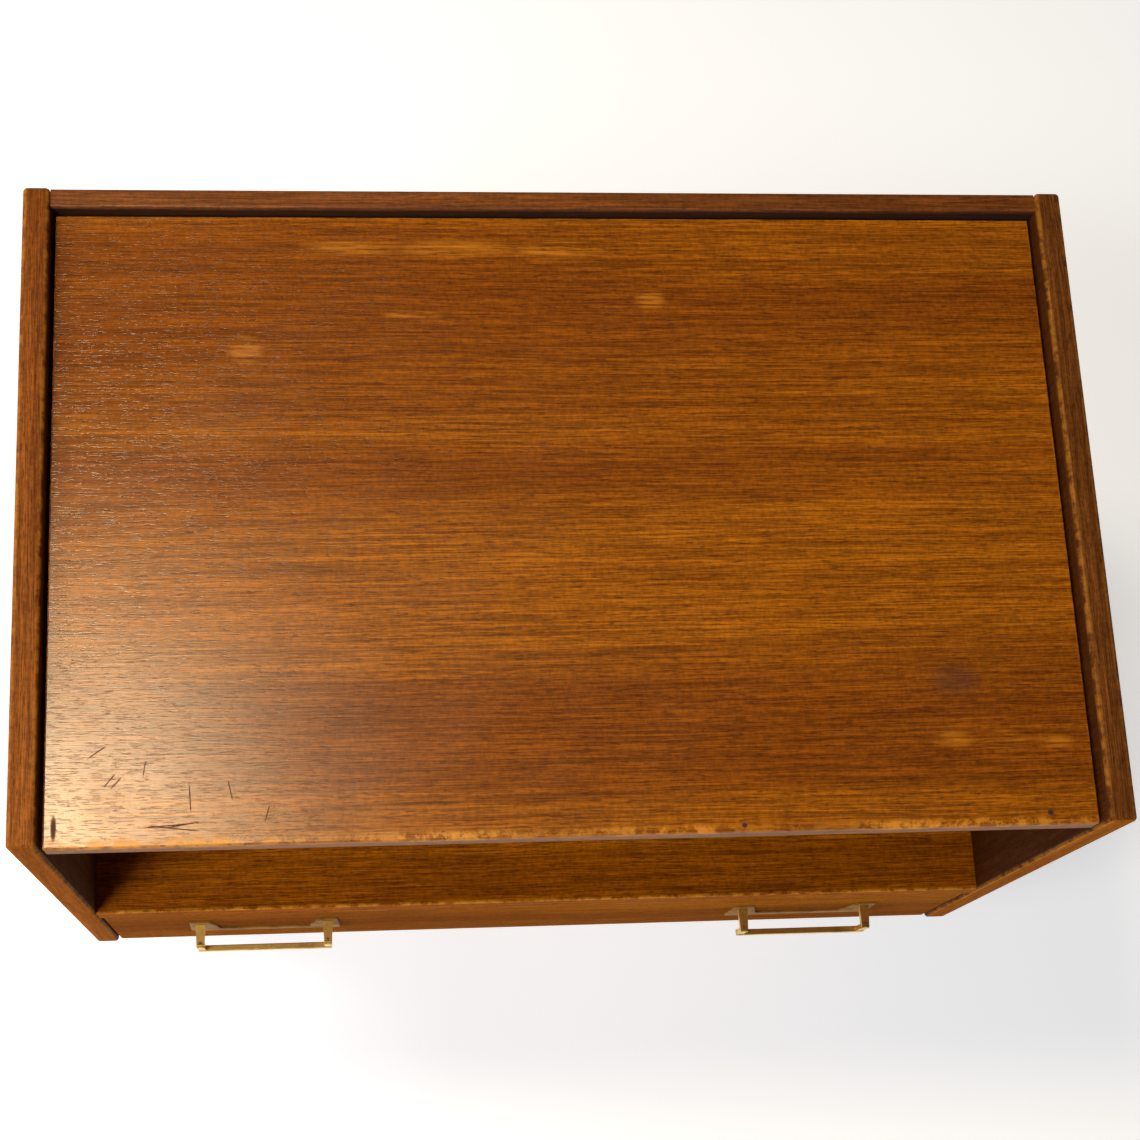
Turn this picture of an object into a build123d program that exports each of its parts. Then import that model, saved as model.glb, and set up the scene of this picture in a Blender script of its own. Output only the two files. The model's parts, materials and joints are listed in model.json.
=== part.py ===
from build123d import *
import math
import os

# Sewing table: a teak case with a raised-edge top, an open shelf and one wide drawer with two
# brass drop pulls, on four splayed round legs.
# Millimetres. +X to the right, -Y to the front, +Z up. The origin is on the floor, under the
# centre of the whole table.

# ---------------------------------------------------------------- driving sizes
# case
width = 600.0
depth = 378.0
case_height = 345.0
leg_height = 230.0
side_thickness = 15.0
arris_radius = 2.5
small_arris = 1.0
overrun = 1.0

# top board, lying below the edges of the sides and the back rail
top_drop = 11.0
top_thickness = 14.0
top_set_back = 1.4
top_side_gap = 1.8
top_back_gap = 1.0
cleat_size = 16.0
cleat_front_set_back = 30.0

# back rail and back panel
rail_thickness = 11.0
rail_height = 45.0
rail_drop = 2.5
back_thickness = 4.0
back_inset = 1.0
rebate_width = 7.0
rebate_overlap = 10.0
panel_gap = 0.4

# shelf and bottom board
shelf_drop = 226.5
shelf_thickness = 20.0
shelf_set_back = 1.0
bottom_thickness = 12.0

# drawer
drawer_set_back = 1.6
drawer_side_gap = 1.5
drawer_top_gap = 1.7
drawer_bottom_gap = 1.0
drawer_stop_gap = 0.5
drawer_front_thickness = 18.0
drawer_side_thickness = 14.0
drawer_back_thickness = 10.0
drawer_bottom_thickness = 4.0
drawer_box_lift = 4.0
drawer_head_room = 8.5
drawer_rear_room = 12.0
drawer_groove_depth = 5.0
drawer_groove_height = 8.0
drawer_back_drop = 3.0
drawer_back_margin = 4.0

# half-blind dovetails at the drawer's front corners
tail_count = 3
tail_length = 10.0
tail_wide = 17.0
tail_narrow = 13.0

# drawer runners, fixed to the case and running in grooves in the drawer sides
runner_height = 14.0
runner_depth = 7.0
runner_clearance = 0.3
runner_end_clearance = 0.5
runner_drop = 37.0
runner_front_room = 6.0
runner_rear_room = 8.0

# fittings in the drawer
divider_thickness = 6.0
divider_height = 45.0
divider_gap = 0.15
divider_spread = 95.0
divider_back_share = 0.45
spool_rail_width = 40.0
spool_rail_thickness = 8.0
spool_count = 5
spool_pin_radius = 2.5
spool_pin_height = 36.0
spool_spacing = 34.0

# dowels
dowel_radius = 3.0
dowel_in_side = 9.0
dowel_in_board = 18.0
glue_gap = 0.1

# countersunk wood screws
screw_radius = 1.6
screw_head_radius = 3.2
screw_head_height = 1.8
screw_slot_width = 0.8
screw_slot_depth = 0.8
screw_gap = 0.1
screw_bite = 9.0
screw_bite_share = 0.6

# pulls
pull_offset = 182.5
pull_drop = 285.0
post_spacing = 84.0
post_width_root = 6.3
post_width_tip = 5.0
post_thickness = 4.0
pin_reach = 14.5
knuckle_radius = 2.2
slot_depth = 2.2
pin_radius = 0.8
pin_bore_gap = 0.05
tongue_thickness = 2.0
tongue_gap = 0.2
tongue_radius = 1.9
tongue_neck_depth = 2.5
stud_radius = 2.0
stud_bore_gap = 0.1
stud_spare = 5.0
nut_width = 7.0
nut_thickness = 3.2
nut_gap = 0.05
plate_thickness = 1.2
plate_edge_cut = 0.4
plate_lobe_top = 13.0
plate_lobe_slope = 6.0
plate_flare = 1.5
plate_rise = 10.0
plate_waist_drop = 17.0
plate_strip_height = 8.0
plate_corner = 1.2
bail_leg_length = 16.0
bail_leg_width = 5.0
bail_leg_depth = 3.2
bail_shoulder = 3.0
bail_bar_height = 4.2
bail_bar_depth = 4.0
bail_corner_cut = 2.2
bail_arris = 0.6

# legs
leg_top_radius = 17.0
leg_foot_radius = 10.0
leg_inset_side = 68.0
leg_inset_front = 72.0
leg_inset_back = 62.0
leg_splay = 6.0
leg_plate_size = 62.0
leg_plate_thickness = 2.5
leg_plate_corner = 8.0
leg_plate_hole_inset = 8.0
leg_plate_gap = 0.2
leg_boss_radius = 7.0
leg_boss_height = 7.0
leg_bolt_radius = 4.0
leg_bolt_length = 34.0
leg_bolt_gap = 0.05
leg_bolt_start_share = 0.8
glide_radius = 8.5
glide_height = 4.0
glide_pin_radius = 1.5
glide_pin_length = 12.0

# ---------------------------------------------------------------- places worked out from them
x_inner = width / 2 - side_thickness
pull_stand_out = pin_reach + knuckle_radius - drawer_set_back
y_back = (depth + pull_stand_out) / 2
y_front = y_back - depth
z_case = leg_height
z_top = z_case + case_height

y_rail = y_back - rail_thickness
z_rail_top = z_top - rail_drop
z_rail_bottom = z_rail_top - rail_height
y_back_panel = y_back - back_inset - back_thickness

z_board_top = z_top - top_drop
z_board_bottom = z_board_top - top_thickness
z_shelf_top = z_top - shelf_drop
z_shelf_bottom = z_shelf_top - shelf_thickness
z_bottom_top = z_case + bottom_thickness

x_drawer = x_inner - drawer_side_gap
y_face = y_front + drawer_set_back
y_front_rear = y_face + drawer_front_thickness
z_front_low = z_case + drawer_bottom_gap
z_front_high = z_shelf_bottom - drawer_top_gap
y_box_rear = y_back_panel - drawer_rear_room
z_box_low = z_bottom_top + drawer_box_lift
z_box_high = z_shelf_bottom - drawer_head_room
x_box_inner = x_drawer - drawer_side_thickness
z_drawer_bottom = z_box_low + drawer_groove_height
z_drawer_floor = z_drawer_bottom + drawer_bottom_thickness
y_drawer_back = y_box_rear - drawer_back_margin - drawer_back_thickness
z_runner_top = z_box_high - runner_drop + runner_height
z_runner_bottom = z_runner_top - runner_height

z_post = z_top - pull_drop
y_plate = y_face - plate_thickness
y_pin = y_face - pin_reach
post_half = post_spacing / 2

sides = {"left": -1, "right": 1}


# ---------------------------------------------------------------- shapes
def block(x, y, z):
    """A rectangular solid between the low and high values given for each axis."""
    size = Box(x[1] - x[0], y[1] - y[0], z[1] - z[0])
    return Pos((x[0] + x[1]) / 2, (y[0] + y[1]) / 2, (z[0] + z[1]) / 2) * size


def rounded(solid, radius, axes=(Axis.X, Axis.Y, Axis.Z)):
    """Rounds the straight edges of a solid that run along the given axes."""
    edges = ShapeList()
    for axis in axes:
        edges += solid.edges().filter_by(axis)
    return fillet(edges, radius)


def placed(shape, point, direction):
    """Puts a shape made along +Z at a point, with its +Z along a direction."""
    return Plane(origin=point, z_dir=direction).location * shape


def along(low, high, count):
    """Evenly spread places between two ends, half a step in from each."""
    step = (high - low) / count
    return [low + step * (index + 0.5) for index in range(count)]


def rod(radius, length):
    """A round bar from the origin along +Z."""
    return Pos(0, 0, length / 2) * Cylinder(radius, length)


def mirrored(solid):
    """The same solid on the other side of the table's middle plane."""
    return mirror(solid, about=Plane.YZ)


def screw(length, gap=0.0):
    """A countersunk screw with its head face at the origin, running down -Z. A gap makes its hole."""
    outline = Polyline(
        (0, 0),
        (screw_head_radius + gap, 0),
        (screw_radius + gap, -screw_head_height),
        (screw_radius + gap, -length - gap),
        (0, -length - gap),
        close=True,
    )
    solid = revolve(Plane.XZ * make_face(outline), Axis.Z)
    if gap == 0.0:
        slot = Box(3 * screw_head_radius, screw_slot_width, 2 * screw_slot_depth)
        solid -= slot
    return solid


def trim(solid, cutters):
    """A solid less each of a list of cutters."""
    for cutter in cutters:
        solid -= cutter
    return solid


# ---------------------------------------------------------------- fixings of the case
shelf_dowel_places = along(y_front + shelf_set_back, y_back_panel, 3)
bottom_dowel_places = along(y_front_rear + drawer_stop_gap, y_back_panel, 3)
dowel_centres = []
for place in shelf_dowel_places:
    dowel_centres.append((place, (z_shelf_top + z_shelf_bottom) / 2))
for place in bottom_dowel_places:
    dowel_centres.append((place, z_case + bottom_thickness / 2))
rail_dowel_y = y_back - rail_thickness / 2
for place in along(z_rail_bottom + rebate_overlap, z_rail_top, 2):
    dowel_centres.append((rail_dowel_y, place))


def dowels(gap=0.0):
    """The right-hand dowels, or with a gap the holes that they are glued into."""
    length = dowel_in_side + dowel_in_board + 2 * gap
    bar = rod(dowel_radius + gap, length)
    start = x_inner - dowel_in_board - gap
    return [placed(bar, (start, y, z), (1, 0, 0)) for y, z in dowel_centres]


cleat_low = y_front + cleat_front_set_back
cleat_length = y_rail - cleat_low
cleat_screw_step = cleat_length / 6
cleat_side_screws = along(cleat_low, y_rail, 3)
cleat_top_screws = [place + cleat_screw_step for place in cleat_side_screws[:2]]
cleat_top_bite = top_thickness * screw_bite_share


def cleat_screws(gap=0.0):
    """Screws through the right-hand cleat: sideways into the side, upwards into the top board."""
    z_middle = z_board_bottom - cleat_size / 2
    x_middle = x_inner - cleat_size / 2
    into_side = screw(cleat_size + screw_bite, gap)
    into_top = screw(cleat_size + cleat_top_bite, gap)
    found = [placed(into_side, (x_inner - cleat_size, y, z_middle), (-1, 0, 0)) for y in cleat_side_screws]
    z_head = z_board_bottom - cleat_size
    found += [placed(into_top, (x_middle, y, z_head), (0, 0, -1)) for y in cleat_top_screws]
    return found


runner_thickness = drawer_side_gap + runner_depth
runner_low = y_front_rear + runner_front_room
runner_high = y_back_panel - runner_rear_room


def runner_screws(gap=0.0):
    """Screws through the right-hand runner into the side."""
    shape = screw(runner_thickness + screw_bite, gap)
    z_middle = (z_runner_top + z_runner_bottom) / 2
    start = x_inner - runner_thickness
    return [placed(shape, (start, y, z_middle), (-1, 0, 0)) for y in along(runner_low, runner_high, 3)]


def back_screws(gap=0.0):
    """Screws through the back panel: into the right side's rebate and into the shelf's back edge."""
    shape = screw(back_thickness + screw_bite, gap)
    y_head = y_back - back_inset
    found = []
    for z in along(z_case, z_rail_bottom, 4):
        found.append(placed(shape, (x_inner + rebate_width / 2, y_head, z), (0, 1, 0)))
    z_shelf = (z_shelf_top + z_shelf_bottom) / 2
    found.append(placed(shape, (x_inner / 2, y_head, z_shelf), (0, 1, 0)))
    return found


def both_sides(shapes):
    """A list of shapes with their mirror images."""
    return shapes + [mirrored(shape) for shape in shapes]


# ---------------------------------------------------------------- legs
def leg_corners():
    """Each leg's name, its centre under the case, and the way it leans out."""
    found = []
    for side_name, side in sides.items():
        x = side * (width / 2 - leg_inset_side)
        found.append(("front_" + side_name, x, y_front + leg_inset_front, (side, -1)))
        found.append(("back_" + side_name, x, y_back - leg_inset_back, (side, 1)))
    return found


def leg_axis(lean):
    """The unit direction from a leg's top down to its foot."""
    across = math.sin(math.radians(leg_splay)) / math.sqrt(2)
    down = -math.cos(math.radians(leg_splay))
    return (lean[0] * across, lean[1] * across, down)


def shifted(point, direction, distance):
    """A point moved along a direction."""
    return tuple(point[axis] + direction[axis] * distance for axis in range(3))


def make_leg_plate(x, y, lean):
    """A flat steel plate on the case's underside, with a threaded boss that points along the leg."""
    seat = (x, y, z_case - leg_plate_thickness)
    up = shifted((0, 0, 0), leg_axis(lean), -1)
    plate = Box(leg_plate_size, leg_plate_size, leg_plate_thickness)
    plate = fillet(plate.edges().filter_by(Axis.Z), leg_plate_corner)
    plate = Pos(x, y, z_case - leg_plate_thickness / 2) * plate
    below = block((x - leg_plate_size, x + leg_plate_size), (y - leg_plate_size, y + leg_plate_size),
                  (seat[2] - leg_plate_size, seat[2]))
    plate += placed(rod(leg_boss_radius, leg_boss_height), seat, up) - below
    plate -= make_leg_bolt(x, y, lean, leg_bolt_gap)
    return trim(plate, leg_plate_screws(x, y, screw_gap))


def leg_boss_hole(x, y, lean):
    """The hole in the bottom board that the boss of a leg plate stands in."""
    seat = (x, y, z_case - leg_plate_thickness)
    up = shifted((0, 0, 0), leg_axis(lean), -1)
    return placed(rod(leg_boss_radius + leg_plate_gap, leg_boss_height + leg_plate_gap), seat, up)


def leg_plate_screws(x, y, gap=0.0):
    """The four screws of one leg plate, up into the bottom board."""
    reach = leg_plate_size / 2 - leg_plate_hole_inset
    shape = screw(leg_plate_thickness + bottom_thickness * screw_bite_share, gap)
    heads = [(x + a * reach, y + b * reach) for a in (-1, 1) for b in (-1, 1)]
    return [placed(shape, (head[0], head[1], z_case - leg_plate_thickness), (0, 0, -1)) for head in heads]


def make_leg_bolt(x, y, lean, gap=0.0):
    """The threaded bolt that joins a leg to its plate. A gap makes its hole."""
    seat = (x, y, z_case - leg_plate_thickness)
    start = shifted(seat, leg_axis(lean), -leg_boss_height * leg_bolt_start_share - gap)
    return placed(rod(leg_bolt_radius + gap, leg_bolt_length + 2 * gap), start, leg_axis(lean))


def make_leg(x, y, lean):
    """A round tapered leg, cut level where it meets its plate and its glide."""
    spare = leg_top_radius
    fall = z_case - leg_plate_thickness - glide_height
    length = fall / math.cos(math.radians(leg_splay)) + 2 * spare
    start = shifted((x, y, z_case - leg_plate_thickness), leg_axis(lean), -spare)
    cone = Pos(0, 0, length / 2) * Cone(leg_top_radius, leg_foot_radius, length)
    leg = placed(cone, start, leg_axis(lean))
    reach = (-width, width)
    leg &= block(reach, reach, (glide_height, z_case - leg_plate_thickness))
    leg -= make_leg_bolt(x, y, lean, glue_gap)
    foot = leg_foot(x, y, lean)
    return leg - Pos(foot[0], foot[1], 0) * rod(glide_pin_radius + glue_gap, glide_pin_length + glue_gap)


def leg_foot(x, y, lean):
    """Where a leg's axis meets the floor."""
    slide_out = (z_case - leg_plate_thickness) * math.tan(math.radians(leg_splay)) / math.sqrt(2)
    return (x + lean[0] * slide_out, y + lean[1] * slide_out)


def make_glide(x, y, lean):
    """A plastic glide under a foot, with its nail."""
    foot = leg_foot(x, y, lean)
    disc = fillet(rod(glide_radius, glide_height).edges().sort_by(Axis.Z)[0], small_arris)
    return Pos(foot[0], foot[1], 0) * (disc + rod(glide_pin_radius, glide_pin_length))


# ---------------------------------------------------------------- case
def make_side():
    """The right-hand side panel."""
    panel = block((x_inner, width / 2), (y_front, y_back), (z_case, z_top))
    panel = rounded(panel, arris_radius)
    panel -= block((x_inner - overrun, x_inner + rebate_width), (y_back_panel, y_back + overrun),
                   (z_case - overrun, z_rail_bottom + rebate_overlap))
    panel = trim(panel, dowels(glue_gap))
    panel = trim(panel, cleat_screws(screw_gap))
    panel = trim(panel, runner_screws(screw_gap))
    return trim(panel, back_screws(screw_gap))


def make_top_board():
    half = x_inner - top_side_gap
    board = block((-half, half), (y_front + top_set_back, y_rail - top_back_gap), (z_board_bottom, z_board_top))
    board = rounded(board, small_arris)
    return trim(board, both_sides(cleat_screws(screw_gap)))


def make_cleat():
    """The right-hand batten that the top board rests on."""
    cleat = block((x_inner - cleat_size, x_inner), (cleat_low, y_rail),
                  (z_board_bottom - cleat_size, z_board_bottom))
    cleat = chamfer(cleat.edges().filter_by(Axis.Y).sort_by(Axis.Z)[:2].sort_by(Axis.X)[0], 3 * small_arris)
    return trim(cleat, cleat_screws(screw_gap))


def make_back_rail():
    rail = block((-x_inner, x_inner), (y_rail, y_back), (z_rail_bottom, z_rail_top))
    rail = rounded(rail, small_arris, [Axis.X])
    rail -= block((-width, width), (y_back_panel, y_back + overrun),
                  (z_rail_bottom - overrun, z_rail_bottom + rebate_overlap))
    return trim(rail, both_sides(dowels(glue_gap)))


def make_back_panel():
    half = x_inner + rebate_width - panel_gap
    panel = block((-half, half), (y_back_panel, y_back_panel + back_thickness),
                  (z_case + panel_gap, z_rail_bottom + rebate_overlap - panel_gap))
    return trim(panel, both_sides(back_screws(screw_gap)))


def make_shelf():
    shelf = block((-x_inner, x_inner), (y_front + shelf_set_back, y_back_panel), (z_shelf_bottom, z_shelf_top))
    front_edges = shelf.edges().filter_by(Axis.X).sort_by(Axis.Y)[:2]
    shelf = fillet(front_edges, small_arris)
    shelf = trim(shelf, both_sides(dowels(glue_gap)))
    return trim(shelf, both_sides(back_screws(screw_gap)))


def make_bottom_board():
    board = block((-x_inner, x_inner), (y_front_rear + drawer_stop_gap, y_back_panel), (z_case, z_bottom_top))
    board = trim(board, both_sides(dowels(glue_gap)))
    for corner, x, y, lean in leg_corners():
        board -= leg_boss_hole(x, y, lean)
        board = trim(board, leg_plate_screws(x, y, screw_gap))
    return board


def make_runner():
    """The right-hand drawer runner."""
    start = x_inner - runner_thickness
    runner = block((start, x_inner), (runner_low, runner_high), (z_runner_bottom, z_runner_top))
    runner = chamfer(runner.edges().filter_by(Axis.Z).sort_by(Axis.X)[:2], small_arris)
    return trim(runner, runner_screws(screw_gap))


# ---------------------------------------------------------------- drawer
def tails(x_outer):
    """The dovetails of the right-hand drawer side, reaching forward into the drawer front."""
    y_tip = y_front_rear - tail_length
    wide = tail_wide / 2
    narrow = tail_narrow / 2
    found = []
    for z in along(z_box_low, z_box_high, tail_count):
        outline = Polyline(
            (y_tip, z - wide), (y_tip, z + wide),
            (y_front_rear, z + narrow), (y_front_rear, z - narrow), close=True
        )
        face = Plane.YZ.offset(x_box_inner) * make_face(outline)
        found.append(extrude(face, x_outer - x_box_inner))
    return found


def groove_floor(gap=0.0):
    """The drawer bottom's space, or with a gap the bottom itself, seated in the grooves around it."""
    half = x_box_inner + drawer_groove_depth - gap
    return block((-half, half), (y_front_rear - drawer_groove_depth + gap, y_box_rear - gap),
                 (z_drawer_bottom, z_drawer_floor))


def pull_centres():
    return {"left": -pull_offset, "right": pull_offset}


def stud_holes():
    """The holes for the studs of both pulls, right through the drawer front."""
    hole = rod(stud_radius + stud_bore_gap, 3 * drawer_front_thickness)
    found = []
    for centre in pull_centres().values():
        for side in (-1, 1):
            start = (centre + side * post_half, y_face - drawer_front_thickness, z_post)
            found.append(placed(hole, start, (0, 1, 0)))
    return found


def make_drawer_front():
    front = block((-x_drawer, x_drawer), (y_face, y_front_rear), (z_front_low, z_front_high))
    front = fillet(front.edges().group_by(Axis.Y)[0], small_arris)
    front = trim(front, both_sides(tails(x_drawer + small_arris)))
    front -= groove_floor()
    return trim(front, stud_holes())


def make_drawer_side():
    """The right-hand drawer side."""
    side = block((x_box_inner, x_drawer), (y_front_rear, y_box_rear), (z_box_low, z_box_high))
    side = fillet(side.edges().filter_by(Axis.Y).sort_by(Axis.Z)[-2:], small_arris)
    for tail in tails(x_drawer):
        side += tail
    side -= groove_floor()
    side -= block((x_drawer - runner_depth - runner_end_clearance, x_drawer + overrun),
                  (y_front_rear + runner_front_room / 2, y_box_rear + overrun),
                  (z_runner_bottom - runner_clearance, z_runner_top + runner_clearance))
    return side


def make_drawer_back():
    return block((-x_box_inner, x_box_inner), (y_drawer_back, y_drawer_back + drawer_back_thickness),
                 (z_drawer_floor, z_box_high - drawer_back_drop))


y_long_divider = y_drawer_back - (y_drawer_back - y_front_rear) * divider_back_share
divider_top = z_drawer_floor + divider_height
halving = z_drawer_floor + divider_height / 2


def make_long_divider():
    """The divider that runs the drawer's width, notched over the short ones."""
    divider = block((-x_box_inner, x_box_inner), (y_long_divider, y_long_divider + divider_thickness),
                    (z_drawer_floor, divider_top))
    reach = divider_thickness / 2 + divider_gap
    for x in (-divider_spread, divider_spread):
        divider -= block((x - reach, x + reach),
                         (y_long_divider - overrun, y_long_divider + divider_thickness + overrun),
                         (z_drawer_floor - overrun, halving))
    return divider


def make_short_divider(x):
    """A divider that runs from front to back, notched to take the long one."""
    reach = divider_thickness / 2
    divider = block((x - reach, x + reach), (y_front_rear, y_drawer_back), (z_drawer_floor, divider_top))
    divider -= block((x - reach - overrun, x + reach + overrun),
                     (y_long_divider - divider_gap, y_long_divider + divider_thickness + divider_gap),
                     (halving, divider_top + overrun))
    return divider


def spool_pin_places():
    """The feet of the pins that hold spools of thread, on the strip behind the long divider."""
    middle = y_long_divider + divider_thickness + spool_rail_width / 2
    return [(spool_spacing * (index - (spool_count - 1) / 2), middle) for index in range(spool_count)]


def make_spool_rail():
    half = divider_spread - divider_thickness / 2
    low = y_long_divider + divider_thickness
    rail = block((-half, half), (low, low + spool_rail_width),
                 (z_drawer_floor, z_drawer_floor + spool_rail_thickness))
    hole = rod(spool_pin_radius + glue_gap, 2 * spool_rail_thickness)
    return trim(rail, [Pos(x, y, z_drawer_floor - overrun) * hole for x, y in spool_pin_places()])


def make_spool_pins():
    pin = fillet(rod(spool_pin_radius, spool_pin_height).edges().sort_by(Axis.Z)[-1], small_arris)
    return [Pos(x, y, z_drawer_floor) * pin for x, y in spool_pin_places()]


# ---------------------------------------------------------------- pulls
def make_backplate(centre):
    """A stamped plate: a raised lobe behind each post, joined by a low strip."""
    inner_top = post_half - plate_lobe_top / 2
    outer_top = post_half + plate_lobe_top / 2
    waist = z_post - plate_waist_drop
    low = waist - plate_strip_height
    high = z_post + plate_rise
    right = [
        (inner_top - plate_lobe_slope, waist),
        (inner_top, high),
        (outer_top, high),
        (outer_top + plate_flare, low),
    ]
    left = [(-x, z) for x, z in reversed(right)]
    outline = Polyline(*[(centre + x, z) for x, z in right + left], close=True)
    face = Plane.XZ.offset(-y_plate) * make_face(outline)
    plate = extrude(face, -plate_thickness)
    plate = fillet(plate.edges().filter_by(Axis.Y), plate_corner)
    plate = chamfer(plate.faces().sort_by(Axis.Y)[0].edges(), plate_edge_cut)
    return trim(plate, stud_holes())


def make_post(x):
    """A flat arm tapering to a slotted knuckle, with a threaded stud through the drawer front."""
    arm = block((x - post_width_root / 2, x + post_width_root / 2), (y_pin, y_plate),
                (z_post - post_thickness / 2, z_post + post_thickness / 2))
    knuckle = Pos(x, y_pin, z_post) * Rot(0, 90, 0) * Cylinder(knuckle_radius, post_width_root)
    y_tip = y_pin - knuckle_radius
    taper = Polyline(
        (x - post_width_root / 2, y_plate), (x + post_width_root / 2, y_plate),
        (x + post_width_tip / 2, y_tip), (x - post_width_tip / 2, y_tip), close=True
    )
    plan = Plane.XY.offset(z_post - post_thickness) * make_face(taper)
    post = (arm + knuckle) & extrude(plan, 2 * post_thickness)
    reach = tongue_thickness / 2 + tongue_gap
    post -= block((x - reach, x + reach), (y_tip - overrun, y_pin + slot_depth),
                  (z_post - post_thickness, z_post + post_thickness))
    post -= pin_bar(x, pin_bore_gap, overrun)
    stud_length = plate_thickness + drawer_front_thickness + nut_thickness + stud_spare
    return post + placed(rod(stud_radius, stud_length), (x, y_plate, z_post), (0, 1, 0))


def pin_bar(x, gap=0.0, spare=0.0):
    """The pivot pin of one post, or with a gap the bore that it turns in."""
    length = post_width_tip - 2 * pin_bore_gap
    return Pos(x, y_pin, z_post) * Rot(0, 90, 0) * Cylinder(pin_radius + gap, length + 2 * spare)


def make_nut(x):
    nut = extrude(RegularPolygon(nut_width / 2, 6, major_radius=False), nut_thickness)
    nut -= rod(stud_radius + nut_gap, 3 * nut_thickness)
    return placed(nut, (x, y_front_rear, z_post), (0, 1, 0))


def make_bail(centre):
    """A drop handle: two legs with tongues that turn on the pins, and the bar between them."""
    z_bar = z_post - bail_leg_length
    outer = post_half + bail_leg_width / 2
    half_depth = bail_leg_depth / 2
    bar = block((centre - outer, centre + outer), (y_pin - bail_bar_depth / 2, y_pin + bail_bar_depth / 2),
                (z_bar - bail_bar_height / 2, z_bar + bail_bar_height / 2))
    low_corners = bar.edges().filter_by(Axis.Y).sort_by(Axis.Z)[:2]
    bail = chamfer(low_corners, bail_corner_cut)
    bail = fillet(bail.edges().filter_by(Axis.X), bail_arris)
    for side in (-1, 1):
        x = centre + side * post_half
        bail += block((x - bail_leg_width / 2, x + bail_leg_width / 2),
                      (y_pin - half_depth, y_pin + half_depth),
                      (z_bar, z_post - bail_shoulder))
        neck = block((x - tongue_thickness / 2, x + tongue_thickness / 2),
                     (y_pin - tongue_neck_depth / 2, y_pin + tongue_neck_depth / 2),
                     (z_post - bail_shoulder - overrun, z_post))
        eye = Pos(x, y_pin, z_post) * Rot(0, 90, 0) * Cylinder(tongue_radius, tongue_thickness)
        bail += neck
        bail += eye
        bail -= pin_bar(x, pin_bore_gap, overrun)
    return bail


# ---------------------------------------------------------------- writing the parts
def group(shapes):
    """Several separate solids as one part."""
    solids = []
    for shape in shapes:
        solids += shape.solids()
    return Compound(children=solids)


parts = {
    "side_panel_left": mirrored(make_side()),
    "side_panel_right": make_side(),
    "top_board": make_top_board(),
    "top_cleat_left": mirrored(make_cleat()),
    "top_cleat_right": make_cleat(),
    "top_cleat_screws": group(both_sides(cleat_screws())),
    "back_rail": make_back_rail(),
    "back_panel": make_back_panel(),
    "back_panel_screws": group(both_sides(back_screws())),
    "shelf_board": make_shelf(),
    "bottom_board": make_bottom_board(),
    "case_dowels": group(both_sides(dowels())),
    "drawer_runner_left": mirrored(make_runner()),
    "drawer_runner_right": make_runner(),
    "drawer_runner_screws": group(both_sides(runner_screws())),
    "drawer_front": make_drawer_front(),
    "drawer_side_left": mirrored(make_drawer_side()),
    "drawer_side_right": make_drawer_side(),
    "drawer_back": make_drawer_back(),
    "drawer_bottom": groove_floor(panel_gap),
    "drawer_long_divider": make_long_divider(),
    "drawer_short_divider_left": make_short_divider(-divider_spread),
    "drawer_short_divider_right": make_short_divider(divider_spread),
    "spool_rail": make_spool_rail(),
    "spool_pins": group(make_spool_pins()),
}

for side_name, centre in pull_centres().items():
    posts = (centre - post_half, centre + post_half)
    parts["pull_backplate_" + side_name] = make_backplate(centre)
    parts["pull_posts_" + side_name] = group([make_post(x) for x in posts])
    parts["pull_pins_" + side_name] = group([pin_bar(x) for x in posts])
    parts["pull_nuts_" + side_name] = group([make_nut(x) for x in posts])
    parts["pull_bail_" + side_name] = make_bail(centre)

leg_screws = []
leg_bolts = []
for corner, x, y, lean in leg_corners():
    parts["leg_" + corner] = make_leg(x, y, lean)
    parts["leg_plate_" + corner] = make_leg_plate(x, y, lean)
    parts["glide_" + corner] = make_glide(x, y, lean)
    leg_screws += leg_plate_screws(x, y)
    leg_bolts.append(make_leg_bolt(x, y, lean))
parts["leg_plate_screws"] = group(leg_screws)
parts["leg_bolts"] = group(leg_bolts)

os.makedirs("parts", exist_ok=True)
for name, part in parts.items():
    export_step(part, os.path.join("parts", name + ".step"))
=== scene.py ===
import bpy
import json
import math
from mathutils import Matrix, Vector


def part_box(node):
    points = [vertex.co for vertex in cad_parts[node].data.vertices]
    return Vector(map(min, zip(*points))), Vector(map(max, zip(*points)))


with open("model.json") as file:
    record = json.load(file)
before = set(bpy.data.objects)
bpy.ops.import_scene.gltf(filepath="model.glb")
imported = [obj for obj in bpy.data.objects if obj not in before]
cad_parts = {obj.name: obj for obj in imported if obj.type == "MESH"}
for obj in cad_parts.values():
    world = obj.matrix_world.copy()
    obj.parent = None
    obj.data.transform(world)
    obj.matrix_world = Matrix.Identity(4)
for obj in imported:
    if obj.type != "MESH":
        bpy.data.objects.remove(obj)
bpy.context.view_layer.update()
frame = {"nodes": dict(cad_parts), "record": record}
nodes = frame["nodes"]

top_low, top_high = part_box("top_board")
side_low, side_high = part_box("side_panel_right")
drawer_low, drawer_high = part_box("drawer_front")
shelf_low, shelf_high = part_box("shelf_board")
case_front = side_low.y
case_top = side_high.z


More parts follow.
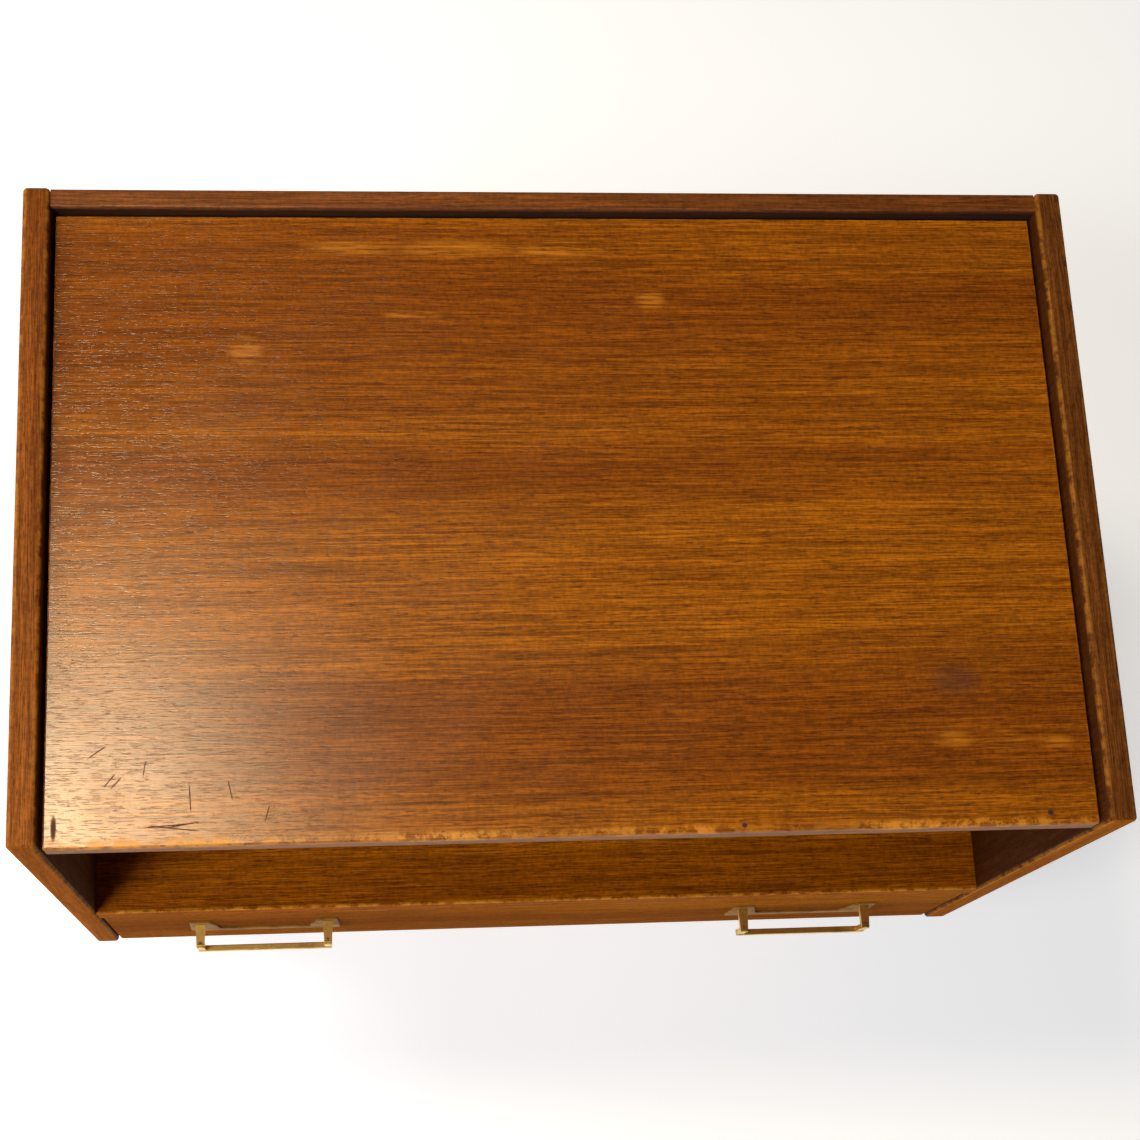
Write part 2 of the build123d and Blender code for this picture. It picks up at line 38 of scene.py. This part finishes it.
# ---------------------------------------------------------------- shader building
class Shader:
    """A material with one Principled surface, and short calls that add and link its nodes."""

    def __init__(self, name):
        self.material = bpy.data.materials.new(name)
        self.material.use_nodes = True
        self.tree = self.material.node_tree
        self.tree.nodes.clear()
        output = self.tree.nodes.new("ShaderNodeOutputMaterial")
        self.surface = self.tree.nodes.new("ShaderNodeBsdfPrincipled")
        self.tree.links.new(self.surface.outputs[0], output.inputs["Surface"])
        self.coordinates = self.tree.nodes.new("ShaderNodeTexCoord").outputs["Object"]

    def put(self, value, socket):
        """Links a socket to another, or sets it to a plain value."""
        if isinstance(value, bpy.types.NodeSocket):
            self.tree.links.new(value, socket)
        else:
            socket.default_value = value

    def set(self, **inputs):
        """Sets or links inputs of the Principled surface, with _ for a space."""
        for name, value in inputs.items():
            self.put(value, self.surface.inputs[name.replace("_", " ")])

    def math(self, operation, a, b=0.0, clamp=False):
        node = self.tree.nodes.new("ShaderNodeMath")
        node.operation = operation
        node.use_clamp = clamp
        self.put(a, node.inputs[0])
        self.put(b, node.inputs[1])
        return node.outputs[0]

    def vector(self, operation, a, b):
        node = self.tree.nodes.new("ShaderNodeVectorMath")
        node.operation = operation
        self.put(a, node.inputs[0])
        self.put(b, node.inputs[1])
        return node.outputs["Value" if operation in ("LENGTH", "DOT_PRODUCT") else "Vector"]

    def swap(self, along):
        """Object coordinates in metres, with the grain's direction first."""
        if along == "X":
            return self.coordinates
        split = self.tree.nodes.new("ShaderNodeSeparateXYZ")
        join = self.tree.nodes.new("ShaderNodeCombineXYZ")
        self.put(self.coordinates, split.inputs[0])
        order = {"Y": (1, 0, 2), "Z": (2, 0, 1)}[along]
        for index, source in enumerate(order):
            self.put(split.outputs[source], join.inputs[index])
        return join.outputs[0]

    def noise(self, place, scale, detail=2.0, roughness=0.5):
        """Noise in a space stretched by scale, from 0 to 1 with most of it near the middle."""
        node = self.tree.nodes.new("ShaderNodeTexNoise")
        node.inputs["Scale"].default_value = 1.0
        node.inputs["Detail"].default_value = detail
        node.inputs["Roughness"].default_value = roughness
        self.put(self.vector("MULTIPLY", place, scale), node.inputs["Vector"])
        return node.outputs[0]

    def span(self, value, low, high, to_low=0.0, to_high=1.0):
        """Maps low..high smoothly to to_low..to_high."""
        node = self.tree.nodes.new("ShaderNodeMapRange")
        node.interpolation_type = "SMOOTHSTEP"
        self.put(value, node.inputs[0])
        for index, number in enumerate((low, high, to_low, to_high)):
            self.put(number, node.inputs[index + 1])
        return node.outputs[0]

    def mix(self, share, a, b):
        node = self.tree.nodes.new("ShaderNodeMix")
        node.data_type = "RGBA"
        self.put(share, node.inputs[0])
        self.put(a, node.inputs[6])
        self.put(b, node.inputs[7])
        return node.outputs[2]

    def spot(self, centre, size):
        """1 at a centre, falling to 0 at an ellipsoid of that half size round it."""
        away = self.vector("SUBTRACT", self.coordinates, centre)
        scaled = self.vector("DIVIDE", away, size)
        return self.span(self.vector("LENGTH", scaled, (0.0, 0.0, 0.0)), 1.0, 0.35)

    def add(self, values):
        """The sum of masks, kept within 0 and 1."""
        total = values[0]
        for value in values[1:]:
            total = self.math("ADD", total, value, clamp=True)
        return total

    def bump(self, height, distance):
        node = self.tree.nodes.new("ShaderNodeBump")
        node.inputs["Strength"].default_value = 1.0
        node.inputs["Distance"].default_value = distance
        self.put(height, node.inputs["Height"])
        self.put(node.outputs[0], self.surface.inputs["Normal"])


def srgb(red, green, blue):
    """A colour given as 0..255 screen values, in linear light."""
    linear = []
    for value in (red, green, blue):
        part = value / 255
        linear.append(part / 12.92 if part <= 0.04045 else ((part + 0.055) / 1.055) ** 2.4)
    return (*linear, 1.0)


# ---------------------------------------------------------------- wood
# how often each layer of the grain changes in a metre, first along the grain
BAND_SCALE = (0.8, 20.0, 20.0)
LINE_SCALE = (7.0, 420.0, 420.0)
FINE_SCALE = (34.0, 1300.0, 1300.0)
PORE_SCALE = (130.0, 1300.0, 1300.0)
MOTTLE_SCALE = (420.0, 260.0, 260.0)
WARP_SCALE = (2.2, 9.0, 9.0)
WARP_REACH = 0.006
# how far grain layers show in the colour and in the relief
LINE_SHARE = 0.50
FINE_SHARE = 0.55
PORE_SHARE = 0.55
MOTTLE_SHARE = 0.14
PORE_RELIEF = -0.4
FINE_RELIEF = 0.55
MOTTLE_RELIEF = 0.12
RELIEF_HEIGHT = 0.00007
SMUDGE_SCALE = (14.0, 14.0, 14.0)
EDGE_DULLNESS = 0.45
WEAR_DULLNESS = 0.12


def grain(shader, along, seed):
    """Masks of a straight-grained wood: broad bands, fine lines, pores and a cross-grain mottle."""
    place = shader.vector("ADD", shader.swap(along), (seed * 0.37, seed * 1.73, seed * 2.91))
    warp = shader.noise(place, WARP_SCALE, detail=1.0)
    sway = shader.math("MULTIPLY", shader.math("SUBTRACT", warp, 0.5), WARP_REACH)
    join = shader.tree.nodes.new("ShaderNodeCombineXYZ")
    shader.put(sway, join.inputs[1])
    shader.put(sway, join.inputs[2])
    place = shader.vector("ADD", place, join.outputs[0])
    bands = shader.noise(place, BAND_SCALE, detail=3.0, roughness=0.55)
    lines = shader.noise(place, LINE_SCALE, detail=4.0, roughness=0.75)
    pores = shader.noise(place, PORE_SCALE, detail=1.0)
    return {
        "bands": shader.span(bands, 0.34, 0.66),
        "lines": shader.span(lines, 0.36, 0.64),
        "fine": shader.noise(place, FINE_SCALE, detail=3.0, roughness=0.7),
        "pores": shader.span(pores, 0.56, 0.68),
        "mottle": shader.noise(place, MOTTLE_SCALE, detail=3.0, roughness=0.7),
    }


def wood_colour(shader, masks, dark, middle, light, depth=1.0):
    """Wood colour from the grain masks and three tones."""
    colour = shader.mix(masks["bands"], middle, light)
    colour = shader.mix(shader.math("MULTIPLY", masks["lines"], LINE_SHARE * depth), colour, dark)
    fine = shader.span(masks["fine"], 0.40, 0.62, 0.0, FINE_SHARE * depth)
    colour = shader.mix(fine, colour, dark)
    swing = MOTTLE_SHARE * depth
    mottle = shader.span(masks["mottle"], 0.35, 0.65, 1.0 - swing, 1.0 + swing)
    tone = shader.tree.nodes.new("ShaderNodeHueSaturation")
    shader.put(mottle, tone.inputs["Value"])
    shader.put(colour, tone.inputs["Color"])
    pores = shader.math("MULTIPLY", masks["pores"], PORE_SHARE * depth)
    return shader.mix(pores, tone.outputs[0], dark)


def lacquer(shader, masks, dullness, wear=None, shine=0.5):
    """Roughness and bump of an open-pored lacquered surface, duller on edges and where it is worn."""
    smudges = shader.noise(shader.coordinates, SMUDGE_SCALE, detail=4.0, roughness=0.6)
    rough = shader.span(smudges, 0.3, 0.7, dullness * 0.92, dullness * 1.1)
    facing = shader.tree.nodes.new("ShaderNodeSeparateXYZ")
    shader.put(shader.tree.nodes.new("ShaderNodeNewGeometry").outputs["Normal"], facing.inputs[0])
    edge = shader.span(shader.math("ABSOLUTE", facing.outputs["Y"]), 0.4, 0.9, 0.0, EDGE_DULLNESS)
    rough = shader.math("ADD", rough, edge)
    if wear is not None:
        rough = shader.math("ADD", rough, shader.math("MULTIPLY", wear, WEAR_DULLNESS))
    rough = shader.math("MINIMUM", rough, 1.0)
    height = shader.math("MULTIPLY", masks["pores"], PORE_RELIEF)
    height = shader.math("ADD", height, shader.math("MULTIPLY", masks["fine"], FINE_RELIEF))
    height = shader.math("ADD", height, shader.math("MULTIPLY", masks["mottle"], MOTTLE_RELIEF))
    shader.bump(height, RELIEF_HEIGHT)
    shader.set(Roughness=rough, Specular_IOR_Level=shine)


TEAK_DARK = srgb(66, 26, 3)
TEAK_MIDDLE = srgb(149, 80, 9)
TEAK_LIGHT = srgb(184, 109, 15)
TEAK_WORN = srgb(222, 150, 46)
TEAK_RUBBED = srgb(214, 136, 22)
SIDE_TONES = (srgb(64, 28, 8), srgb(132, 72, 24), srgb(160, 94, 36))
# painted shade: a darker copy of the side tones for the right panel, which the light from the left reaches
# less
RIGHT_SIDE_PAINTED_SHADE_TONES = (srgb(50, 22, 7), srgb(106, 60, 22), srgb(130, 78, 32))
# painted shade: a near-black tone laid on the side panels' inner faces
INNER_FACE_PAINTED_SHADE = srgb(44, 15, 4)
FRONT_TONES = (srgb(78, 34, 3), srgb(163, 89, 6), srgb(197, 115, 12))
RAIL_TONES = (srgb(58, 26, 7), srgb(122, 66, 22), srgb(146, 84, 32))
SHELF_TONES = (srgb(74, 30, 3), srgb(188, 102, 9), srgb(216, 127, 15))
BEECH_LIGHT = srgb(222, 184, 138)
BEECH_DARK = srgb(168, 122, 80)
# painted shade: the near-black tone low on the back rail's front face
RAIL_PAINTED_SHADE = srgb(24, 9, 3)
DENT_DARK = srgb(52, 18, 6)


def teak(name, along, seed, dullness, tones, depth):
    """A plain lacquered teak material with its grain along one axis."""
    shader = Shader(name)
    masks = grain(shader, along, seed)
    shader.set(Base_Color=wood_colour(shader, masks, *tones, depth=depth))
    lacquer(shader, masks, dullness, shine=0.3)
    return shader.material


# wear, in metres from an edge and as shares of the worn colour; two shares below are of painted shade
# instead
TOP_FRONT_WEAR = 0.0062
TOP_END_WEAR = 0.0016
SIDE_WEAR = 0.0032
DRAWER_WEAR = 0.0030
SHELF_WEAR = 0.0026
PATCH_SHARE = 0.46
TOP_EDGE_SHARE = 0.75
TOP_END_SHARE = 0.5
SIDE_SHARE = 0.24
DRAWER_SHARE = 0.85
SHELF_SHARE = 0.8
# share of the painted shade on the side panels' inner faces
INNER_FACE_SHADE_SHARE = 0.62
# share of the painted shade on the back rail's front face
RAIL_SHADE_SHARE = 0.85
DENT_DULLNESS = 4.0
SCRATCH_HALF_WIDTH = 0.0004
# how deep into the wood a mark on the top face reaches, and a tone kept to one face
MARK_DEPTH = 0.02
FACE_DEPTH = 0.0004
FACE_END = 0.0012
FRONT_DEPTH = 0.0010
SOLID_EDGE = 0.0048
SOLID_EDGE_END = 0.0052
# heights below the case top where the back rail's painted shade begins and is full
RAIL_SHADE_START = 0.0040
RAIL_SHADE_FULL = 0.0065
# how often the ragged masks of wear change in a metre
RAGGED_EDGE_SCALE = (90.0, 90.0, 90.0)
RAGGED_ARRIS_SCALE = (110.0, 110.0, 110.0)
TORN_SCALE = (28.0, 480.0, 480.0)
UNEVEN_FRONT_SCALE = (9.0, 3.0, 3.0)
SPARSE_RUB_SCALE = (55.0, 20.0, 20.0)


def edge_wear(shader, low, high, reach, axes):
    """A ragged mask along the box edges of a board, on the named axes' ends."""
    split = shader.tree.nodes.new("ShaderNodeSeparateXYZ")
    shader.put(shader.coordinates, split.inputs[0])
    ragged = shader.noise(shader.coordinates, RAGGED_EDGE_SCALE, detail=4.0, roughness=0.7)
    found = []
    for axis, end in axes:
        edge = (low if end < 0 else high)["XYZ".index(axis)]
        gap = shader.math("ABSOLUTE", shader.math("SUBTRACT", split.outputs[axis], edge))
        near = shader.span(gap, reach, reach * 0.1)
        found.append(near)
    worn = shader.add(found)
    return shader.math("MULTIPLY", worn, shader.span(ragged, 0.42, 0.62))


def on_top(across, back):
    """A point on the top board from its shares of width and depth."""
    x = top_low.x + (top_high.x - top_low.x) * across
    y = top_low.y + (top_high.y - top_low.y) * back
    return (x, y, top_high.z)


def top_board_material():
    """Teak veneer with worn patches, a rubbed front edge, scratches and small dark fillings."""
    shader = Shader("teak_top")
    masks = grain(shader, "X", 1.0)
    colour = wood_colour(shader, masks, TEAK_DARK, TEAK_MIDDLE, TEAK_LIGHT)

    worn_places = [
        ((0.292, 0.948), (0.034, 0.007)),
        ((0.398, 0.945), (0.040, 0.008)),
        ((0.506, 0.944), (0.036, 0.007)),
        ((0.353, 0.831), (0.020, 0.004)),
        ((0.595, 0.857), (0.011, 0.009)),
        ((0.187, 0.772), (0.013, 0.011)),
        ((0.865, 0.134), (0.016, 0.006)),
        ((0.915, 0.131), (0.018, 0.007)),
        ((0.965, 0.127), (0.014, 0.005)),
    ]
    patches = shader.add([shader.spot(on_top(*at), (*size, MARK_DEPTH)) for at, size in worn_places])
    torn = shader.noise(shader.coordinates, TORN_SCALE, detail=4.0, roughness=0.7)
    patches = shader.math("MULTIPLY", patches, shader.span(torn, 0.40, 0.64))
    front = arris_wear(shader, top_low, top_high, TOP_FRONT_WEAR, [(("Y", -1), ("Z", 1))])
    uneven = shader.noise(shader.coordinates, UNEVEN_FRONT_SCALE, detail=2.0)
    mostly = shader.span(uneven, 0.40, 0.55, 0.25, 1.0)
    front = shader.math("MULTIPLY", front, mostly)
    ends = edge_wear(shader, top_low, top_high, TOP_END_WEAR, [("X", -1), ("X", 1), ("Y", 1)])
    edges = shader.add([front, shader.math("MULTIPLY", ends, TOP_END_SHARE)])
    wear = shader.add([patches, edges])
    colour = shader.mix(shader.math("MULTIPLY", patches, PATCH_SHARE), colour, TEAK_RUBBED)
    colour = shader.mix(shader.math("MULTIPLY", edges, TOP_EDGE_SHARE), colour, TEAK_WORN)

    dark_places = [
        ((0.653, 0.010), (0.0024, 0.0022), 1.0),
        ((0.952, 0.018), (0.0026, 0.0024), 1.0),
        ((0.010, 0.030), (0.0018, 0.0084), 0.9),
        ((0.871, 0.226), (0.020, 0.012), 0.35),
    ]
    marks = []
    for at, size, strength in dark_places:
        marks.append(shader.math("MULTIPLY", shader.spot(on_top(*at), (*size, MARK_DEPTH)), strength))
    scratches = shader.add([scratch(shader, at, turn, reach) for at, turn, reach in (
        ((0.060, 0.098), 50.0, 0.0050),
        ((0.066, 0.094), 48.0, 0.0042),
        ((0.112, 0.030), 4.0, 0.0125),
        ((0.119, 0.026), -7.0, 0.0140),
        ((0.128, 0.031), 9.0, 0.0095),
        ((0.134, 0.070), 93.0, 0.0080),
        ((0.092, 0.115), 80.0, 0.0046),
        ((0.048, 0.140), 35.0, 0.0060),
        ((0.171, 0.080), 102.0, 0.0060),
        ((0.205, 0.045), 75.0, 0.0050),
    )])
    dents = shader.add(marks + [scratches])
    colour = shader.mix(dents, colour, DENT_DARK)
    shader.set(Base_Color=colour)
    dulled = shader.math("ADD", wear, shader.math("MULTIPLY", dents, DENT_DULLNESS))
    lacquer(shader, masks, dullness=0.25, wear=dulled)
    return shader.material


def scratch(shader, at, turn, reach):
    """A thin straight scratch on the top board, turned about the vertical."""
    away = shader.vector("SUBTRACT", shader.coordinates, on_top(*at))
    angle = math.radians(turn)
    lengthwise = shader.vector("DOT_PRODUCT", away, (math.cos(angle), math.sin(angle), 0.0))
    crosswise = shader.vector("DOT_PRODUCT", away, (-math.sin(angle), math.cos(angle), 0.0))
    line = shader.span(shader.math("ABSOLUTE", crosswise), SCRATCH_HALF_WIDTH, SCRATCH_HALF_WIDTH * 0.3)
    within = shader.span(shader.math("ABSOLUTE", lengthwise), reach, reach * 0.6)
    return shader.math("MULTIPLY", line, within)


def arris_wear(shader, low, high, reach, edges):
    """A ragged mask along the sharp edges of a box, each edge named by its two faces."""
    split = shader.tree.nodes.new("ShaderNodeSeparateXYZ")
    shader.put(shader.coordinates, split.inputs[0])
    ragged = shader.noise(shader.coordinates, RAGGED_ARRIS_SCALE, detail=5.0, roughness=0.75)
    found = []
    for faces in edges:
        squares = []
        for axis, end in faces:
            edge = (low if end < 0 else high)["XYZ".index(axis)]
            gap = shader.math("SUBTRACT", split.outputs[axis], edge)
            squares.append(shader.math("MULTIPLY", gap, gap))
        away = shader.math("SQRT", shader.math("ADD", *squares))
        found.append(shader.span(away, reach, reach * 0.35))
    return shader.math("MULTIPLY", shader.add(found), shader.span(ragged, 0.40, 0.60))


def side_material(name, node, seed, tones):
    """A side panel: grain up its faces and along its solid top edge, a warmer front face, and an inner face
    darkened with painted shade."""
    shader = Shader(name)
    low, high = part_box(node)
    face = grain(shader, "Z", seed)
    edge = grain(shader, "Y", seed + 3.0)
    split = shader.tree.nodes.new("ShaderNodeSeparateXYZ")
    shader.put(shader.coordinates, split.inputs[0])
    top_strip = shader.span(split.outputs["Z"], case_top - SOLID_EDGE_END, case_top - SOLID_EDGE)
    colour = shader.mix(top_strip, wood_colour(shader, face, *tones), wood_colour(shader, edge, *tones))
    inner = min(abs(low.x), abs(high.x))
    forward = shader.span(split.outputs["Y"], low.y + FRONT_DEPTH, low.y + FACE_DEPTH)
    colour = shader.mix(forward, colour, wood_colour(shader, face, *FRONT_TONES, depth=0.7))
    # painted shade: the inner face darkened towards a near-black tone
    inner_face_shade = shader.span(shader.math("ABSOLUTE", split.outputs["X"]), inner + FACE_END, inner + FACE_DEPTH)
    colour = shader.mix(shader.math("MULTIPLY", inner_face_shade, INNER_FACE_SHADE_SHARE), colour, INNER_FACE_PAINTED_SHADE)
    edges = [(("X", end), ("Z", 1)) for end in (-1, 1)] + [(("X", end), ("Y", -1)) for end in (-1, 1)]
    worn = arris_wear(shader, low, high, SIDE_WEAR, edges)
    colour = shader.mix(shader.math("MULTIPLY", worn, SIDE_SHARE), colour, TEAK_WORN)
    shader.set(Base_Color=colour)
    lacquer(shader, face, dullness=0.55, shine=0.05)
    return shader.material


def rail_material():
    """The back rail, darkened with painted shade low on its front face beside the top board."""
    shader = Shader("teak_rail")
    masks = grain(shader, "X", 17.0)
    colour = wood_colour(shader, masks, *RAIL_TONES)
    split = shader.tree.nodes.new("ShaderNodeSeparateXYZ")
    shader.put(shader.coordinates, split.inputs[0])
    # painted shade low on the rail's front face, where it stands over the recessed top board
    low_down = shader.span(split.outputs["Z"], case_top - RAIL_SHADE_START, case_top - RAIL_SHADE_FULL)
    rail_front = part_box("back_rail")[0].y
    forward = shader.span(split.outputs["Y"], rail_front + FACE_END, rail_front + FACE_DEPTH)
    rail_shade = shader.math("MULTIPLY", low_down, forward)
    colour = shader.mix(shader.math("MULTIPLY", rail_shade, RAIL_SHADE_SHARE), colour, RAIL_PAINTED_SHADE)
    shader.set(Base_Color=colour)
    lacquer(shader, masks, dullness=0.42, shine=0.3)
    return shader.material


def shelf_material():
    """Teak with a thin rubbed line along its front edge."""
    shader = Shader("teak_shelf")
    masks = grain(shader, "X", 23.0)
    colour = wood_colour(shader, masks, *SHELF_TONES)
    rubbed = arris_wear(shader, shelf_low, shelf_high, SHELF_WEAR, [(("Y", -1), ("Z", 1))])
    colour = shader.mix(shader.math("MULTIPLY", rubbed, SHELF_SHARE), colour, TEAK_WORN)
    shader.set(Base_Color=colour)
    lacquer(shader, masks, dullness=0.45, shine=0.04)
    return shader.material


def drawer_front_material():
    """Teak with pale rubbed spots along its top edge."""
    shader = Shader("teak_drawer_front")
    masks = grain(shader, "X", 7.0)
    colour = wood_colour(shader, masks, TEAK_DARK, TEAK_MIDDLE, TEAK_LIGHT, depth=0.8)
    rubbed = arris_wear(shader, drawer_low, drawer_high, DRAWER_WEAR, [(("Y", -1), ("Z", 1))])
    sparse = shader.noise(shader.coordinates, SPARSE_RUB_SCALE, detail=2.0)
    rubbed = shader.math("MULTIPLY", rubbed, shader.span(sparse, 0.50, 0.60))
    colour = shader.mix(shader.math("MULTIPLY", rubbed, DRAWER_SHARE), colour, TEAK_WORN)
    shader.set(Base_Color=colour)
    lacquer(shader, masks, dullness=0.5, wear=rubbed, shine=0.02)
    return shader.material


def pale_wood(name, along, seed, light, dark):
    """Unstained wood under a thin clear finish."""
    shader = Shader(name)
    masks = grain(shader, along, seed)
    middle = tuple((a + b) / 2 for a, b in zip(light, dark))
    shader.set(Base_Color=wood_colour(shader, masks, dark, middle, light, depth=0.35))
    lacquer(shader, masks, dullness=0.5)
    return shader.material


# ---------------------------------------------------------------- metal and plastic
TARNISH_SCALE = (90.0, 90.0, 90.0)
SCUFF_SCALE = (420.0, 2600.0, 2600.0)
SCUFF_HEIGHT = 0.00003
UNEVEN_POLISH = 0.14
SPECKLE_SCALE = (1500.0, 1500.0, 1500.0)
SPECKLE_HEIGHT = 0.00006
DUST_SCALE = (120.0, 120.0, 120.0)
DUST_COLOUR = srgb(92, 84, 76)


def metal(name, bright, dull, rough, tarnish, bare=1.0, shine=0.5):
    """Metal with soft tarnish, fine scuffs and an uneven polish, less bare under old lacquer."""
    shader = Shader(name)
    cloud = shader.noise(shader.coordinates, TARNISH_SCALE, detail=4.0, roughness=0.55)
    stain = shader.span(cloud, 0.40, 0.72, 0.0, tarnish)
    shader.set(Base_Color=shader.mix(stain, bright, dull))
    scuffs = shader.noise(shader.coordinates, SCUFF_SCALE, detail=2.0)
    shader.set(Specular_IOR_Level=shine)
    shader.set(Metallic=bare, Roughness=shader.span(cloud, 0.35, 0.7, rough, rough + UNEVEN_POLISH))
    shader.bump(scuffs, SCUFF_HEIGHT)
    return shader.material


def moulded_plastic(name, colour):
    """Dark plastic with a fine moulded texture."""
    shader = Shader(name)
    speckle = shader.noise(shader.coordinates, SPECKLE_SCALE, detail=2.0)
    dust = shader.noise(shader.coordinates, DUST_SCALE, detail=4.0)
    shader.set(Base_Color=shader.mix(shader.span(dust, 0.45, 0.7, 0.0, 0.35), colour, DUST_COLOUR))
    shader.set(Roughness=shader.span(speckle, 0.3, 0.7, 0.45, 0.62))
    shader.bump(speckle, SPECKLE_HEIGHT)
    return shader.material


def materials():
    """Every node's material, by its own name or by the material slot that the record gives it."""
    brass = metal("pull_brass", srgb(240, 204, 114), srgb(174, 132, 64), rough=0.34, tarnish=0.9)
    plate = metal(
        "backplate_brass", srgb(158, 112, 44), srgb(112, 72, 24),
        rough=0.62, tarnish=0.7, bare=0.45, shine=0.1,
    )
    steel = metal("screw_steel", srgb(186, 184, 178), srgb(116, 110, 100), rough=0.34, tarnish=0.6)
    plate_steel = metal("plate_steel", srgb(150, 150, 150), srgb(92, 88, 84), rough=0.40, tarnish=0.7)
    return {
        "teak_top": top_board_material(),
        "side_panel_left": side_material("teak_side_left", "side_panel_left", 11.0, SIDE_TONES),
        # the right panel takes the darker tones as painted shade
        "side_panel_right": side_material("teak_side_right", "side_panel_right", 13.0, RIGHT_SIDE_PAINTED_SHADE_TONES),
        "teak_rail": rail_material(),
        "teak_shelf": shelf_material(),
        "teak_drawer_front": drawer_front_material(),
        "teak_leg": teak("teak_leg", "Z", seed=29.0, dullness=0.38, tones=SIDE_TONES, depth=0.8),
        "plain_wood": pale_wood("plain_wood", "X", 31.0, srgb(188, 142, 96), srgb(128, 88, 54)),
        "back_plywood": pale_wood("back_plywood", "X", 37.0, srgb(178, 128, 80), srgb(120, 78, 42)),
        "hardwood_fitting": pale_wood("hardwood_fitting", "Y", 41.0, BEECH_LIGHT, BEECH_DARK),
        "drawer_beech": pale_wood("drawer_beech", "Y", 43.0, BEECH_LIGHT, BEECH_DARK),
        "drawer_plywood": pale_wood("drawer_plywood", "X", 47.0, srgb(226, 192, 148), srgb(184, 142, 98)),
        "divider_beech": pale_wood("divider_beech", "X", 53.0, BEECH_LIGHT, BEECH_DARK),
        "dowel_beech": pale_wood("dowel_beech", "X", 59.0, BEECH_LIGHT, BEECH_DARK),
        "screw_steel": steel,
        "bolt_steel": steel,
        "plate_steel": plate_steel,
        "nut_steel": steel,
        "glide_plastic": moulded_plastic("glide_plastic", srgb(38, 34, 32)),
        "pull_brass": brass,
        "pull_backplate_left": plate,
        "pull_backplate_right": plate,
        "pin_brass": brass,
    }


def finish_nodes():
    """Gives each node its material."""
    found = materials()
    for entry in frame["record"]["subparts"]:
        piece = nodes[entry["node"]]
        piece.data.materials.clear()
        own = found.get(entry["node"])
        piece.data.materials.append(own or found[entry["material_slot"]])


# ---------------------------------------------------------------- studio
FLOOR_REACH = 25.0
FLOOR_TONES = ((0.75, 0.80, 0.89, 1.0), (0.78, 0.83, 0.92, 1.0))
FLOOR_GLOW = 0.51
# the sky's strength at the horizon and overhead, and the height where its fade ends
SKY_HORIZON = 0.55
SKY_OVERHEAD = 0.03
SKY_FADE_END = 0.35


def make_floor():
    """A plain pale floor, large enough for every view."""
    size = FLOOR_REACH
    mesh = bpy.data.meshes.new("floor")
    corners = [(-size, -size, 0), (size, -size, 0), (size, size, 0), (-size, size, 0)]
    mesh.from_pydata(corners, [], [(0, 1, 2, 3)])
    floor = bpy.data.objects.new("floor", mesh)
    bpy.context.scene.collection.objects.link(floor)
    shader = Shader("floor")
    soft = shader.noise(shader.coordinates, (3.0, 3.0, 3.0))
    shader.set(Base_Color=shader.mix(soft, *FLOOR_TONES), Roughness=0.9)
    shader.set(Specular_IOR_Level=0.1, Emission_Color=(1.0, 1.0, 1.0, 1.0), Emission_Strength=FLOOR_GLOW)
    floor.data.materials.append(shader.material)


def area_light(name, place, target, size, power, colour=(1.0, 1.0, 1.0)):
    """A square soft light that faces a point."""
    light = bpy.data.lights.new(name, "AREA")
    light.shape = "SQUARE"
    light.size = size
    light.energy = power
    light.color = colour
    lamp = bpy.data.objects.new(name, light)
    bpy.context.scene.collection.objects.link(lamp)
    lamp.location = place
    lamp.rotation_euler = (Vector(target) - Vector(place)).to_track_quat("-Z", "Y").to_euler()


def light_studio():
    """A sky pale only near the horizon, a key in front on the left, a small warm lamp that shines
    in the lacquer, one more on the left and a low front fill."""
    middle = (0.0, 0.0, case_top * 0.8)
    area_light("key", (-1.05, -0.75, 2.2), middle, 0.5, 20.0, (1.0, 0.96, 0.90))
    area_light("shine", (-0.56, 0.20, 2.40), middle, 0.32, 21.0, (1.0, 0.77, 0.46))
    area_light("left_side", (-1.35, 0.35, 1.5), middle, 0.5, 8.5, (1.0, 0.95, 0.86))
    area_light("front_fill", (-1.6, -1.8, 1.05), middle, 0.9, 14.0, (1.0, 0.95, 0.88))
    world = bpy.data.worlds.new("studio")
    world.use_nodes = True
    tree = world.node_tree
    background = tree.nodes["Background"]
    background.inputs["Color"].default_value = (1.0, 1.0, 1.0, 1.0)
    split = tree.nodes.new("ShaderNodeSeparateXYZ")
    tree.links.new(tree.nodes.new("ShaderNodeTexCoord").outputs["Generated"], split.inputs[0])
    fade = tree.nodes.new("ShaderNodeMapRange")
    fade.interpolation_type = "SMOOTHSTEP"
    for index, number in enumerate((0.0, SKY_FADE_END, SKY_HORIZON, SKY_OVERHEAD)):
        fade.inputs[index + 1].default_value = number
    tree.links.new(split.outputs["Z"], fade.inputs[0])
    tree.links.new(fade.outputs[0], background.inputs["Strength"])
    bpy.context.scene.world = world
    bpy.context.scene.view_settings.view_transform = "Standard"


def place_camera():
    """The camera stands above the case's front edge, a little left, and looks steeply down."""
    data = bpy.data.cameras.new("camera")
    data.sensor_width = 36.0
    data.lens = 58.33
    data.shift_x = 0.0473
    data.shift_y = 0.1392
    data.clip_start = 0.05
    camera = bpy.data.objects.new("camera", data)
    bpy.context.scene.collection.objects.link(camera)
    right = Vector((0.995857, -0.041307, 0.081016))
    up = Vector((0.019949, 0.968415, 0.248544))
    backward = Vector((-0.088723, -0.245898, 0.965227))
    turn = Matrix((right, up, backward)).transposed().to_4x4()
    place = Vector((-0.1222, case_front - 0.1832, case_top + 0.9474))
    camera.matrix_world = Matrix.Translation(place) @ turn
    bpy.context.scene.camera = camera


finish_nodes()
make_floor()
light_studio()
place_camera()
